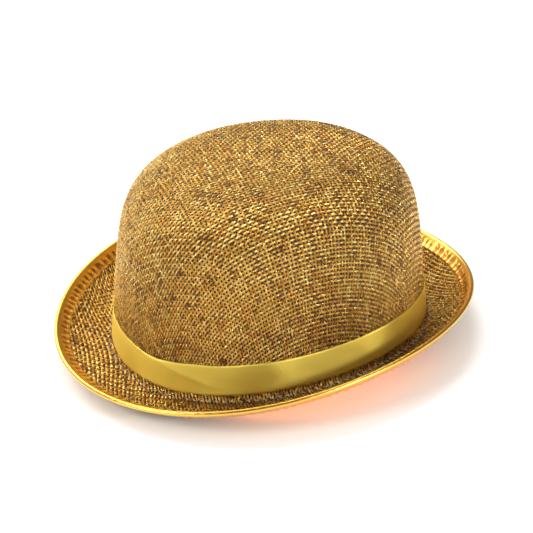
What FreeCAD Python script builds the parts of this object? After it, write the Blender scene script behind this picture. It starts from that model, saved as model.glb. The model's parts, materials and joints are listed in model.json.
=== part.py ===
import FreeCAD, Part
import math
import os

os.makedirs("parts", exist_ok=True)
V = FreeCAD.Vector

# A bowler hat of metallic mesh cloth, pressed over a stiff backing. Millimetres, +Z up.
# The front of the hat faces -Y. The origin is on the table, under the middle of the whole hat.
# Round the hat, a place is given by its angle: 0 at +X, 90 degrees at the back, -90 at the front.

# Crown
CROWN_LENGTH = 203.0        # outside, front to back, at the foot of the ribbon
CROWN_WIDTH = 179.2         # outside, side to side, at the foot of the ribbon
CROWN_HEIGHT = 109.6        # from the mean foot of the ribbon to the tip
CROWN_TAPER = 0.09          # share of its size that the wall loses from foot to tip
DOME_WALL_POWER = 6.7       # how long the wall stays straight before it turns over
DOME_TIP_POWER = 3.2        # how flat the tip is

# Brim, measured level from the foot of the crown
BRIM_REACH = 29.4           # mean level reach of the brim
BRIM_REACH_ENDS = 3.3       # more at front and back, less at the sides
BRIM_REACH_FRONT = 3.0      # more in front, less at the back
BRIM_RISE = 13.2            # mean height of the edge over the mean foot of the ribbon
BRIM_RISE_SIDES = 5.8       # more at the sides, less at front and back
BRIM_RISE_BACK = 4.2        # more at the back, less in front
SADDLE = 4.4                # how far the crown's foot rises at the sides and dips at the ends
FILLET_R = 3.2              # inner corner between crown and brim
BRIM_BEND = math.radians(16.0)   # how far the brim's slope turns each side of its chord

# Layers, as depths under the outer face of the mesh
MESH_T = 0.8
GLUE_GAP = 0.05
BACKING_T = 0.6
FACING_T = 0.4
LINING_T = 0.3
BAND_T = 0.7
BACKING_TOP = MESH_T + GLUE_GAP
INNER_TOP = BACKING_TOP + BACKING_T + GLUE_GAP      # where the lining, facing and lip begin
STACK = INNER_TOP + FACING_T
SWEAT_TOP = INNER_TOP + LINING_T + 0.3              # the sweatband hangs clear of the lining
LIP_BOTTOM = INNER_TOP + BAND_T                     # the hat's lowest layer

# Ribbon
RIBBON_W = 18.7
RIBBON_T = 0.35
RIBBON_GAP = 0.3
RIBBON_LIFT = 0.3           # its lower edge over the crown's foot
RIBBON_START = math.radians(100.0)
RIBBON_LAP = math.radians(10.0)
LAP_CLEAR = 0.15

# Edge: a spring wire in a fold of foil binding
WIRE_R = 0.7
WIRE_GAP = math.radians(1.0)
JOINER_R = 1.0
JOINER_BORE_R = 0.76
JOINER_HALF = math.radians(4.0)
JOIN_AT = math.radians(90.0)
BINDING_T = 0.35
BINDING_W = 8.5
FOLD_R = STACK / 2 + 0.1    # inside radius of the fold at the very edge
MID_DEPTH = STACK / 2
CUT_EDGE = 1.965            # where the layers are cut off, short of the wire

# Sweatband and label
SWEAT_H = 30.0
SWEAT_LIP = 1.3             # how far round the corner and along the brim its lip runs
FACING_START = 1.34
LINING_END = 6.0            # the lining stops this far over the crown's foot
LABEL_W = 26.0
LABEL_T = 0.4
TAB_H = 4.0
FLAP_H = 21.0
LABEL_TOP = 27.0            # over the crown's foot
LABEL_CLEAR = 0.35
FOLD_GAP = 0.3              # between the sewn tab and the flap that swings
LABEL_CORNER = 0.1

# The crown's mesh and the brim's mesh are two cuts of cloth that meet behind the ribbon
MESH_SEAM = 7.0             # the crown's mesh ends this far over the crown's foot
MESH_SEAM_GAP = 0.4

# Sewing
SWEAT_PITCH = 4.6
BINDING_PITCH = 4.8
STITCH_L = 2.6
STITCH_R = 0.32
STITCH_CLEAR = 0.03
SWEAT_ROW = 0.75            # place of the sweatband's stitches across the corner
BINDING_ROW = 0.85          # place of the binding's stitches across its width
BRIM_RUN = 30.0             # near enough the brim's width, to place that row
TACK_HEIGHTS = (4.0, 9.5, 15.0)
TACK_AT = 0.7               # share of the lap
TACK_CLEAR = 0.05
LABEL_STITCHES = 6

# Surface detail
COLUMNS = 32                # stations round the hat
RING_COLUMNS = 64           # stations round an open ring, such as the ribbon or the wire
PROFILE_STEPS = 4000
RING_STEPS = 720
FILLET_SHARE = 0.15         # part of the brim's run that is its corner
BRIM_HANDLE = 0.36          # length of the brim curve's handles against its chord
SMALL_STEP = 1e-4

HALF_L = CROWN_LENGTH / 2
HALF_W = CROWN_WIDTH / 2
FOOT_Z = FILLET_R + SADDLE + LIP_BOTTOM             # mean foot of the ribbon over the table
CENTRE_Y = BRIM_REACH_FRONT                         # the crown sits back, the front brim is longer


def foot(angle):
    """Height of the crown's foot over its mean, which dips at front and back."""
    return SADDLE * math.cos(2 * angle)


def wall_share(h):
    """Size of the crown's level section at height h, as a share of the size at its foot."""
    dome = (1.0 - max(h, 0.0) ** DOME_WALL_POWER) ** (1.0 / DOME_TIP_POWER)
    return dome * (1.0 - CROWN_TAPER * h)


def dome_profile():
    """Height shares from tip to foot at equal steps of length along the crown's outline."""
    turns = [0.5 * math.pi * i / PROFILE_STEPS for i in range(PROFILE_STEPS, -1, -1)]
    heights = [math.sin(t) ** (2.0 / DOME_WALL_POWER) for t in turns]
    run = [0.0]
    for a, b in zip(heights, heights[1:]):
        out = (wall_share(a) - wall_share(b)) * HALF_W
        run.append(run[-1] + math.hypot(out, (a - b) * CROWN_HEIGHT))
    return heights, [x / run[-1] for x in run]


PROFILE_H, PROFILE_RUN = dome_profile()


def between(x, xs, ys):
    """Value at x of the line through the points (xs, ys), xs rising."""
    low, high = 0, len(xs) - 1
    while high - low > 1:
        mid = (low + high) // 2
        if xs[mid] <= x:
            low = mid
        else:
            high = mid
    t = (x - xs[low]) / max(xs[high] - xs[low], 1e-12)
    return ys[low] + t * (ys[high] - ys[low])


def outward(angle):
    """Level unit vector square to the crown's foot."""
    v = V(math.cos(angle) / HALF_W, math.sin(angle) / HALF_L, 0)
    return v.normalize()


def brim_corner(angle):
    """Reach, rise and slopes that shape the brim's section at one angle, from the crown's foot."""
    reach = BRIM_REACH - BRIM_REACH_ENDS * math.cos(2 * angle) - BRIM_REACH_FRONT * math.sin(angle)
    rise = BRIM_RISE + BRIM_RISE_SIDES * math.cos(2 * angle) + BRIM_RISE_BACK * math.sin(angle)
    rise -= foot(angle)
    chord = math.atan2(rise + FILLET_R, reach - FILLET_R)
    return reach, rise, chord - BRIM_BEND, chord + BRIM_BEND


def brim_section(angle, t):
    """Level reach and height over the crown's foot at t, from 0 at the foot to 1 at the edge."""
    reach, rise, start_slope, end_slope = brim_corner(angle)
    turn = 0.5 * math.pi + start_slope
    if t <= FILLET_SHARE:
        a = turn * t / FILLET_SHARE
        return FILLET_R * (1.0 - math.cos(a)), -FILLET_R * math.sin(a)
    k = (t - FILLET_SHARE) / (1.0 - FILLET_SHARE)
    p0 = (FILLET_R * (1.0 - math.cos(turn)), -FILLET_R * math.sin(turn))
    handle = math.hypot(reach - p0[0], rise - p0[1]) * BRIM_HANDLE
    p1 = (p0[0] + handle * math.cos(start_slope), p0[1] + handle * math.sin(start_slope))
    p2 = (reach - handle * math.cos(end_slope), rise - handle * math.sin(end_slope))
    w = ((1 - k) ** 3, 3 * k * (1 - k) ** 2, 3 * k * k * (1 - k), k ** 3)
    points = (p0, p1, p2, (reach, rise))
    return sum(a * p[0] for a, p in zip(w, points)), sum(a * p[1] for a, p in zip(w, points))


def face_point(angle, s):
    """Outer face of the hat: s is 0 at the tip, 1 at the crown's foot and 2 at the brim's edge."""
    if s <= 1.0:
        low = foot(angle) / CROWN_HEIGHT
        h = low + (1.0 - low) * between(s, PROFILE_RUN, PROFILE_H)
        share = wall_share(h) if s > 0.0 else 0.0
        return V(HALF_W * share * math.cos(angle), CENTRE_Y + HALF_L * share * math.sin(angle),
                 FOOT_Z + h * CROWN_HEIGHT)
    u, z = brim_section(angle, s - 1.0)
    return face_point(angle, 1.0) + outward(angle) * u + V(0, 0, z)


def face_normal(angle, s):
    """Unit vector square to the outer face, pointing out of the cloth."""
    if s < 0.02:
        return V(0, 0, 1)
    e = SMALL_STEP
    along = face_point(angle, min(s + e, 2.0)) - face_point(angle, min(s + e, 2.0) - 2 * e)
    around = face_point(angle + e, s) - face_point(angle - e, s)
    return along.cross(around).normalize()


def hat_point(angle, s, depth=0.0):
    """A place at a depth under the outer face."""
    return face_point(angle, s) - face_normal(angle, s) * depth


def at_height(angle, height):
    """The s at which the crown's wall is a height over its foot."""
    low = foot(angle) / CROWN_HEIGHT
    share = (height / CROWN_HEIGHT) / (1.0 - low)
    return between(share, PROFILE_H[::-1], PROFILE_RUN[::-1])


def stations(start=0.0, sweep=2 * math.pi, columns=COLUMNS):
    """Angles round the hat. A whole turn leaves out its last station, which is its first."""
    count = columns if abs(sweep - 2 * math.pi) < 1e-9 else columns - 1
    return [start + sweep * i / count for i in range(columns)]


def rows(angles, runs, depth):
    """Points for a run of places, each a row round the hat. A run or depth may depend on the angle."""
    def value(x, angle):
        return x(angle) if callable(x) else x
    depths = depth if isinstance(depth, list) else [depth] * len(runs)
    return [[hat_point(a, value(s, a), value(d, a)) for a in angles] for s, d in zip(runs, depths)]


def fit(points, closed):
    """Poles, knots and multiplicities of the smooth curve through points at even steps."""
    if len(points) == 2:
        return [points[0], points[1]], [0.0, 1.0], [2, 2], 1
    spans = len(points) if closed else len(points) - 1
    curve = Part.BSplineCurve()
    curve.interpolate(Points=points, PeriodicFlag=closed,
                      Parameters=[i / spans for i in range(spans + 1)])
    return curve.getPoles(), curve.getKnots(), curve.getMultiplicities(), curve.Degree


def is_point(row):
    return all((p - row[0]).Length < 1e-6 for p in row)


def surface(grid, closed):
    """Face through a grid of points: rows lie round the hat, and the grid's order is across them."""
    model = next(row for row in grid if not is_point(row))
    poles, knots, mults, degree = fit(model, closed)
    row_poles = [[row[0]] * len(poles) if is_point(row) else fit(row, closed)[0] for row in grid]
    columns = [fit(list(column), False) for column in zip(*row_poles)]
    across = columns[0]
    skin = Part.BSplineSurface()
    skin.buildFromPolesMultsKnots([c[0] for c in columns], mults, across[2], knots, across[1],
                                  closed, False, degree, across[3])
    return skin.toShape()


def solid(faces):
    """Closed solid from faces that meet edge to edge."""
    shell = Part.Shell(faces)
    shell.sewShape()
    body = Part.Solid(shell)
    if body.Volume < 0:
        body.reverse()
    return body


def sheet(outer, inner, closed=True):
    """Solid sheet between two grids of the same size."""
    faces = [surface(outer, closed), surface(inner, closed)]
    for k in (0, -1):
        if not is_point(outer[k]):
            faces.append(surface([outer[k], inner[k]], closed))
    if not closed:
        for k in (0, -1):
            faces.append(surface([[row[k] for row in outer], [row[k] for row in inner]], False))
    return solid(faces)


def tube(centres, radius, closed):
    """Round tube along a ring of (centre, across, up) stations."""
    def half(first):
        grid = []
        for k in range(7):
            a = first + math.pi * k / 6
            grid.append([c + n * (radius * math.cos(a)) + z * (radius * math.sin(a)) for c, n, z in centres])
        return grid
    halves = [half(0.0), half(math.pi)]
    faces = [surface(grid, closed) for grid in halves]
    if not closed:
        for k in (0, -1):
            rims = [[row[k] for row in halves[0]], [row[k] for row in reversed(halves[1])]]
            faces.append(surface(rims, False))
    return solid(faces)


def edge_frame(angle):
    """Centre of the wire, and the cloth's own run and normal there."""
    up = face_normal(angle, 2.0)
    run = (face_point(angle, 2.0) - face_point(angle, 1.99)).normalize()
    return hat_point(angle, 2.0, MID_DEPTH), run, up


def ring_place(angle, s, depth, length):
    """Placement with X along the row of stitches, Z out of the cloth, centred on the place."""
    centre = hat_point(angle, s, depth)
    e = SMALL_STEP
    along = (hat_point(angle + e, s, depth) - hat_point(angle - e, s, depth)).normalize()
    up = face_normal(angle, s)
    side = up.cross(along).normalize()
    turn = FreeCAD.Rotation(along, side, up, "XYZ")
    return FreeCAD.Placement(centre - along * (length / 2), turn)


def stitch(length=STITCH_L, radius=STITCH_R):
    """One laid stitch of thread, lying along X."""
    return Part.makeCylinder(radius, length, V(0, 0, 0), V(1, 0, 0))


def even_angles(s, pitch):
    """Angles that space a row of stitches evenly by length."""
    angles = [2 * math.pi * i / RING_STEPS for i in range(RING_STEPS + 1)]
    run = [0.0]
    for a, b in zip(angles, angles[1:]):
        run.append(run[-1] + (face_point(b, s) - face_point(a, s)).Length)
    number = int(round(run[-1] / pitch))
    return [between(run[-1] * (i + 0.5) / number, run, angles) for i in range(number)]


def stitch_row(s, pitch, depth=-(STITCH_R + STITCH_CLEAR)):
    """Separate stitches in a row round the hat."""
    one = stitch()
    out = []
    for angle in even_angles(s, pitch):
        piece = one.copy()
        piece.Placement = ring_place(angle, s, depth, STITCH_L)
        out.append(piece)
    return Part.makeCompound(out)


def steps(low, high, count):
    return [low + (high - low) * i / (count - 1) for i in range(count)]


def corner_to_edge():
    """Places from the crown's foot round the corner to the cut edge of the layers."""
    corner = 1.0 + FILLET_SHARE
    return steps(1.0, corner, 5) + steps(corner, CUT_EDGE, 10)[1:]


def scaled_runs(height, count):
    """Places from the tip down to a height over the crown's foot."""
    def scaled(k):
        return lambda angle: k * at_height(angle, height)
    return [scaled(k) for k in steps(0.0, 1.0, count)]


def make_shell(top, bottom, runs):
    angles = stations()
    return sheet(rows(angles, runs, top), rows(angles, runs, bottom))


def make_crown_mesh():
    """Metallic mesh cloth pressed over the crown; its cut edge is behind the ribbon."""
    return make_shell(0.0, MESH_T, scaled_runs(MESH_SEAM, 25))


def make_brim_mesh():
    """Second cut of the mesh, from behind the ribbon over the brim to its edge."""
    def wall(height):
        return lambda angle: at_height(angle, height)
    start = [wall(h) for h in steps(MESH_SEAM - MESH_SEAM_GAP, 1.5, 3)]
    return make_shell(0.0, MESH_T, start + corner_to_edge())


def make_stiffener():
    """Stiff non-woven backing in one piece, glued under both cuts of the mesh."""
    return make_shell(BACKING_TOP, BACKING_TOP + BACKING_T, steps(0.0, 1.0, 25)[:-1] + corner_to_edge())


def make_facing():
    """Cloth under the brim, from the sweatband's lip to the edge."""
    return make_shell(INNER_TOP, STACK, steps(FACING_START, CUT_EDGE, 9))


def make_lining():
    """Thin lining inside the crown, which ends behind the sweatband."""
    return make_shell(INNER_TOP, INNER_TOP + LINING_T, scaled_runs(LINING_END, 23))


def make_sweatband():
    """Band that the head touches, with a lip under the brim's root where it is sewn."""
    def wall(height):
        return lambda angle: at_height(angle, height)
    runs = [wall(h) for h in steps(SWEAT_H, 3.0, 7)]
    runs += [1.0, 1.0 + FILLET_SHARE / 3, 1.0 + FILLET_SHARE * 2 / 3, 1.0 + FILLET_SHARE]
    runs += steps(1.0 + FILLET_SHARE, SWEAT_LIP, 4)[1:]
    drop = SWEAT_TOP - INNER_TOP
    ease = [1.0] * 7 + [0.9, 0.6, 0.25, 0.0] + [0.0] * 3
    top = [INNER_TOP + drop * e for e in ease]
    return sheet(rows(stations(), runs, top), rows(stations(), runs, [d + BAND_T for d in top]))


def make_ribbon():
    """Satin ribbon round the crown's foot; its end laps over its start."""
    sweep = 2 * math.pi + RIBBON_LAP
    angles = stations(RIBBON_START, sweep, RING_COLUMNS)
    ramp = 2 * RIBBON_LAP

    def lift(angle):
        t = min(max((angle - RIBBON_START - 2 * math.pi + ramp) / ramp, 0.0), 1.0)
        return (RIBBON_T + LAP_CLEAR) * t * t * (3 - 2 * t)

    def face(gap):
        heights = steps(RIBBON_LIFT, RIBBON_LIFT + RIBBON_W, 5)
        return [[hat_point(a, at_height(a, h), -(gap + lift(a))) for a in angles] for h in heights]
    return sheet(face(RIBBON_GAP + RIBBON_T), face(RIBBON_GAP), closed=False)


def make_tacks():
    """Three thread tacks that hold the ribbon's lapped end."""
    out = []
    angle = RIBBON_START + RIBBON_LAP * TACK_AT
    depth = -(RIBBON_GAP + 2 * RIBBON_T + LAP_CLEAR + STITCH_R + STITCH_CLEAR + TACK_CLEAR)
    for height in TACK_HEIGHTS:
        piece = stitch()
        piece.Placement = ring_place(angle, at_height(angle, height), depth, STITCH_L)
        out.append(piece)
    return Part.makeCompound(out)


def binding_rows(angles, radius):
    """The fold of the binding at one face, from its upper hem round the edge to its lower hem."""
    sample = 0.3

    def hem(angle, share):
        reach = (face_point(angle, 2.0) - face_point(angle, 2.0 - sample)).Length / sample
        return 2.0 - share * BINDING_W / reach
    grid = []
    for share in steps(1.0, 0.0, 7)[:-1]:
        grid.append([hat_point(a, hem(a, share), MID_DEPTH - radius) for a in angles])
    for k in range(9):
        turn = math.pi * k / 8
        ring = []
        for a in angles:
            centre, run, up = edge_frame(a)
            ring.append(centre + up * (radius * math.cos(turn)) + run * (radius * math.sin(turn)))
        grid.append(ring)
    for share in steps(0.0, 1.0, 7)[1:]:
        grid.append([hat_point(a, hem(a, share), MID_DEPTH + radius) for a in angles])
    return grid


def make_binding():
    """Foil binding, folded over the edge of all the layers and the wire."""
    angles = stations()
    return sheet(binding_rows(angles, FOLD_R + BINDING_T), binding_rows(angles, FOLD_R))


def make_wire():
    """Spring wire inside the fold; its two ends meet in the joiner."""
    angles = stations(JOIN_AT + WIRE_GAP / 2, 2 * math.pi - WIRE_GAP, RING_COLUMNS)
    return tube([edge_frame(a) for a in angles], WIRE_R, False)


def make_joiner():
    """Crimped sleeve over the wire's two ends."""
    outer = stations(JOIN_AT - JOINER_HALF, 2 * JOINER_HALF, 7)
    inner = stations(JOIN_AT - 1.2 * JOINER_HALF, 2.4 * JOINER_HALF, 9)
    body = tube([edge_frame(a) for a in outer], JOINER_R, False)
    return body.cut(tube([edge_frame(a) for a in inner], JOINER_BORE_R, False))


def label_plane():
    """Level place of the label's back face: its side edges just clear the curved band."""
    def clear_y(height):
        angle = math.radians(90.0)
        band = hat_point(angle, at_height(angle, height), SWEAT_TOP + BAND_T)
        curve = (HALF_W - SWEAT_TOP) ** 2 / (HALF_L - SWEAT_TOP)
        return band.y - curve + math.sqrt(curve ** 2 - (LABEL_W / 2) ** 2)
    return min(clear_y(LABEL_TOP), clear_y(LABEL_TOP - TAB_H - FLAP_H)) - LABEL_CLEAR


def label_block(low, high):
    """A flat piece of the label between two heights over the crown's foot at the back."""
    base = FOOT_Z + foot(math.radians(90.0))
    block = Part.makeBox(LABEL_W, LABEL_T, high - low, V(-LABEL_W / 2, label_plane() - LABEL_T, base + low))
    corners = [e for e in block.Edges if abs(e.BoundBox.YLength - LABEL_T) < 1e-6 and e.Length < LABEL_T * 1.01]
    return block.makeFillet(LABEL_CORNER, corners)


def make_label_tab():
    """Sewn top strip of the label, fast to the sweatband."""
    return label_block(LABEL_TOP - TAB_H, LABEL_TOP)


def make_label():
    """Free flap of the label, which swings on its fold under the tab."""
    return label_block(LABEL_TOP - TAB_H - FLAP_H, LABEL_TOP - TAB_H - FOLD_GAP)


def make_label_stitches():
    """Row of stitches through the label's tab."""
    base = FOOT_Z + foot(math.radians(90.0))
    out = []
    y = label_plane() - LABEL_T - STITCH_R - STITCH_CLEAR
    for i in range(LABEL_STITCHES):
        x = -LABEL_W / 2 + LABEL_W * (i + 0.5) / LABEL_STITCHES - STITCH_L / 2
        piece = stitch()
        piece.translate(V(x, y, base + LABEL_TOP - TAB_H / 2))
        out.append(piece)
    return Part.makeCompound(out)


def binding_hem():
    """Where the binding's stitches run, a little inside its upper hem."""
    return 2.0 - BINDING_ROW * BINDING_W / BRIM_RUN


NODES = {
    "crown_mesh": make_crown_mesh,
    "brim_mesh": make_brim_mesh,
    "stiffener_shell": make_stiffener,
    "brim_facing": make_facing,
    "crown_lining": make_lining,
    "sweatband": make_sweatband,
    "sweatband_stitching": lambda: stitch_row(1.0 + FILLET_SHARE * SWEAT_ROW, SWEAT_PITCH),
    "hat_band": make_ribbon,
    "hat_band_tacks": make_tacks,
    "brim_binding": make_binding,
    "binding_stitching": lambda: stitch_row(
        binding_hem(), BINDING_PITCH, MID_DEPTH - FOLD_R - BINDING_T - STITCH_R - STITCH_CLEAR),
    "brim_wire": make_wire,
    "wire_joiner": make_joiner,
    "label_tab": make_label_tab,
    "size_label": make_label,
    "label_stitches": make_label_stitches,
}

for node, make in NODES.items():
    shape = make()
    shape.exportStep("parts/" + node + ".step")
    box = shape.optimalBoundingBox(False, False)
    print(node, "valid" if shape.isValid() else "NOT VALID", len(shape.Solids), "solids, volume",
          round(shape.Volume / 1000.0, 3), "cm3, x %.1f %.1f y %.1f %.1f z %.2f %.2f" % (
              box.XMin, box.XMax, box.YMin, box.YMax, box.ZMin, box.ZMax))
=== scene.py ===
# %% [markdown]
# # A bowler hat in gold mesh cloth
#
# This lesson dresses a measured frame as a finished hat. The frame is the CAD model: it fixes
# every size, and nothing in it is moved. Each soft layer of the hat, from the woven mesh to
# the label inside, is then built as its own piece of mesh with its own finish.

# %% Load the frame
import json
import math

import bpy
import numpy as np
from mathutils import Matrix, Vector


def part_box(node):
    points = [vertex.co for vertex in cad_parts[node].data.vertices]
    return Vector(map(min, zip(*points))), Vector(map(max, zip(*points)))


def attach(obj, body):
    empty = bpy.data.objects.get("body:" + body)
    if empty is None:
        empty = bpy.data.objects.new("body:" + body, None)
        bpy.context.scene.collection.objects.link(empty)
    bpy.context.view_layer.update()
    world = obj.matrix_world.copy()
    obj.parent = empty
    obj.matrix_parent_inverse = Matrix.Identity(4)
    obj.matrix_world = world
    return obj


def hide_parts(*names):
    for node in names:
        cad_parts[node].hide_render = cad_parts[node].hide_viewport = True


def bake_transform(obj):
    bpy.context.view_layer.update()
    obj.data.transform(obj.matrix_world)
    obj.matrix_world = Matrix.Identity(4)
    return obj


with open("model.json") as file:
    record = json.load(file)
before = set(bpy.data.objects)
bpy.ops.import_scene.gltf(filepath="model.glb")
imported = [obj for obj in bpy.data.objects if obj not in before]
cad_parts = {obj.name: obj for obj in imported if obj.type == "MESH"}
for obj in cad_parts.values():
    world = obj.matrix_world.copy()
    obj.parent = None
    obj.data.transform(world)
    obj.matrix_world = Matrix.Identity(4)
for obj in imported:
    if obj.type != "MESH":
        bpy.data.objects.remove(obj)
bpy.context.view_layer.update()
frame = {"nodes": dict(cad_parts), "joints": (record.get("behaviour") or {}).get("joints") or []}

MM = 0.001
HAT = "hat"
rng = np.random.default_rng(20)
print("nodes:", sorted(frame["nodes"]))

# %% [markdown]
# ## The hat block
#
# A hatter presses cloth over a wooden block, and every layer takes the block's shape. The
# block could be sculpted, or lofted through rings. Here it is a formula, because then each
# layer can ask for "the place at this angle, this far down, this deep under the cloth", and
# all the layers nest without touching. The numbers are those of the CAD model, in mm.

# %% The block's measures
HALF_W, HALF_L = 89.6, 101.5     # half the crown's width and length at its foot
CROWN_H, TAPER = 109.6, 0.09     # the crown's height, and how much its wall leans in
WALL_POWER, TIP_POWER = 6.7, 3.2  # how square the shoulder is, and how flat the tip
REACH, REACH_ENDS, REACH_FRONT = 29.4, 3.3, 3.0   # how far out the brim reaches
RISE, RISE_SIDES, RISE_BACK = 13.2, 5.8, 4.2      # how high the brim's edge curls
SADDLE, FILLET_R, BEND = 4.4, 3.2, math.radians(16.0)   # foot's dip, corner radius, bow
FILLET_SHARE, HANDLE = 0.15, 0.36   # the corner's share of the brim, the bow's fullness
FOOT_Z, CENTRE_Y = 9.8, 3.0      # where the crown's foot stands

heights = np.sin(0.5 * np.pi * np.linspace(1, 0, 4001)) ** (2 / WALL_POWER)


def wall_share(h):
    """Size of the crown at height share h, against its size at the foot."""
    dome = np.clip(1 - np.clip(h, 0, 1) ** WALL_POWER, 0, 1) ** (1 / TIP_POWER)
    return dome * (1 - TAPER * h)


steps_out = np.hypot(np.diff(wall_share(heights)) * HALF_W, np.diff(heights) * CROWN_H)
outline_run = np.concatenate([[0], np.cumsum(steps_out)])
outline_run /= outline_run[-1]
print("outline from tip to foot, mm:", round(float(steps_out.sum()), 1))


# %% A place on the block
def foot(angle):
    """Height of the crown's foot, which dips at front and back."""
    return SADDLE * np.cos(2 * angle)


def brim_section(angle, t):
    """Level reach and height from the crown's foot, at t from 0 at the foot to 1 at the edge."""
    reach = REACH - REACH_ENDS * np.cos(2 * angle) - REACH_FRONT * np.sin(angle)
    rise = RISE + RISE_SIDES * np.cos(2 * angle) + RISE_BACK * np.sin(angle) - foot(angle)
    chord = np.arctan2(rise + FILLET_R, reach - FILLET_R)
    turn = 0.5 * np.pi + chord - BEND
    a = turn * np.clip(t / FILLET_SHARE, 0, 1)
    corner = FILLET_R * (1 - np.cos(a)), -FILLET_R * np.sin(a)
    k = np.maximum((t - FILLET_SHARE) / (1 - FILLET_SHARE), 0)
    p0 = FILLET_R * (1 - np.cos(turn)), -FILLET_R * np.sin(turn)
    handle = HANDLE * np.hypot(reach - p0[0], rise - p0[1])
    p1 = p0[0] + handle * np.cos(chord - BEND), p0[1] + handle * np.sin(chord - BEND)
    p2 = reach - handle * np.cos(chord + BEND), rise - handle * np.sin(chord + BEND)
    w = (1 - k) ** 3, 3 * k * (1 - k) ** 2, 3 * k * k * (1 - k), k ** 3
    end = reach, rise
    curve = [w[0] * p0[i] + w[1] * p1[i] + w[2] * p2[i] + w[3] * end[i] for i in (0, 1)]
    return tuple(np.where(t <= FILLET_SHARE, corner[i], curve[i]) for i in (0, 1))


def face(angle, s):
    """Outer face of the block, mm: s is 0 at the tip, 1 at the crown's foot, 2 at the edge."""
    angle, s = np.broadcast_arrays(np.asarray(angle, float), np.asarray(s, float))
    low = foot(angle) / CROWN_H
    h = low + (1 - low) * np.interp(np.minimum(s, 1), outline_run, heights)
    share = np.where(s > 0, wall_share(h), 0)
    u, z = brim_section(angle, np.maximum(s - 1, 0))
    out = np.stack([np.cos(angle) / HALF_W, np.sin(angle) / HALF_L], -1)
    out /= np.linalg.norm(out, axis=-1, keepdims=True)
    u = np.where(s > 1, u, 0)
    return np.stack([HALF_W * share * np.cos(angle) + out[..., 0] * u,
                     CENTRE_Y + HALF_L * share * np.sin(angle) + out[..., 1] * u,
                     FOOT_Z + h * CROWN_H + np.where(s > 1, z, 0)], -1)


front_section = np.array(brim_section(-math.pi / 2, 1.0))
print("front brim, reach and rise in mm:", front_section.round(1))


# %% Which way is out, and depth under the cloth
def unit(v):
    """Vectors of length 1 in the same directions."""
    return v / np.maximum(np.linalg.norm(v, axis=-1, keepdims=True), 1e-12)


def normal(angle, s, e=1e-4):
    """Unit vectors that point out of the cloth."""
    angle, s = np.broadcast_arrays(np.asarray(angle, float), np.asarray(s, float))
    far = np.clip(s + e, 2 * e, 2.0)
    n = unit(np.cross(face(angle, far) - face(angle, far - 2 * e),
                      face(angle + e, s) - face(angle - e, s)))
    near_tip = (s < 0.02)[..., None]
    return np.where(near_tip, np.array([0.0, 0.0, 1.0]), n)


def place(angle, s, depth=0.0):
    """Points at a depth in mm under the outer face."""
    return face(angle, s) - normal(angle, s) * np.asarray(depth, float)[..., None]


def at_height(angle, height):
    """The s at which the wall is a height in mm over the crown's foot."""
    low = foot(angle) / CROWN_H
    return np.interp(height / CROWN_H / (1 - low), heights[::-1], outline_run[::-1])


print("front edge, mm:", face(-math.pi / 2, 2.0).round(1), "tip, mm:", face(0, 0).round(1))

# %% [markdown]
# ## From numbers to meshes
#
# Blender can build a mesh from points and faces handed over as whole arrays, which is far
# quicker than adding them one by one. Three small builders cover every piece: a mesh from
# arrays, a sheet with two faces and a real thickness, and a tube of thread. Loose numbers
# that a finish needs later, such as "how far along the ribbon", are stored on the points.

# %% Mesh builders
def make_piece(name, points_mm, quads, materials, marks=None, slots=None, smooth=True):
    """A mesh object in metres; quads may repeat a corner to make a triangle."""
    mesh = bpy.data.meshes.new(name)
    points = np.asarray(points_mm, float).reshape(-1, 3) * MM
    faces = [tuple(dict.fromkeys(q)) for q in np.asarray(quads).tolist()]
    mesh.from_pydata(points, [], faces)
    for key, values in (marks or {}).items():
        mesh.attributes.new(key, "FLOAT", "POINT").data.foreach_set(
            "value", np.asarray(values, np.float32).ravel())
    for m in materials:
        mesh.materials.append(m)
    if slots is not None:
        mesh.polygons.foreach_set("material_index", np.asarray(slots, np.int32))
    mesh.polygons.foreach_set("use_smooth", np.full(len(mesh.polygons), smooth))
    mesh.update()
    piece = bpy.data.objects.new(name, mesh)
    bpy.context.scene.collection.objects.link(piece)
    return piece


def grid_quads(rows, columns, closed, first=0, flip=False):
    """Corner numbers of a grid's quads; closed joins its last column to its first."""
    r, c = np.meshgrid(np.arange(rows - 1), np.arange(columns if closed else columns - 1),
                       indexing="ij")
    d = (c + 1) % columns
    q = np.stack([r * columns + c, r * columns + d, (r + 1) * columns + d, (r + 1) * columns + c],
                 -1).reshape(-1, 4) + first
    return q[:, ::-1] if flip else q


def sheet_piece(name, outer, inner, closed, materials, marks=None):
    """A sheet between two grids of points (rows, columns, 3), closed all round its edges."""
    rows, columns = outer.shape[:2]
    half = rows * columns
    quads = [grid_quads(rows, columns, closed), grid_quads(rows, columns, closed, half, True)]
    r, c = np.arange(rows - 1), np.arange(columns if closed else columns - 1)
    d = (c + 1) % columns
    last = (rows - 1) * columns
    quads.append(np.stack([c, c + half, d + half, d], -1))
    quads.append(np.stack([d + last, d + last + half, c + last + half, c + last], -1))
    if not closed:
        a, b = r * columns, (r + 1) * columns
        quads.append(np.stack([b, b + half, a + half, a], -1))
        a, b = a + columns - 1, b + columns - 1
        quads.append(np.stack([a, a + half, b + half, b], -1))
    points = np.concatenate([outer.reshape(-1, 3), inner.reshape(-1, 3)])
    marks = {k: np.tile(np.asarray(v, float).ravel(), 2) for k, v in (marks or {}).items()}
    return make_piece(name, points, np.concatenate(quads), materials, marks)


END_TAPER = 0.35                 # a thread's end against its full thickness


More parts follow.
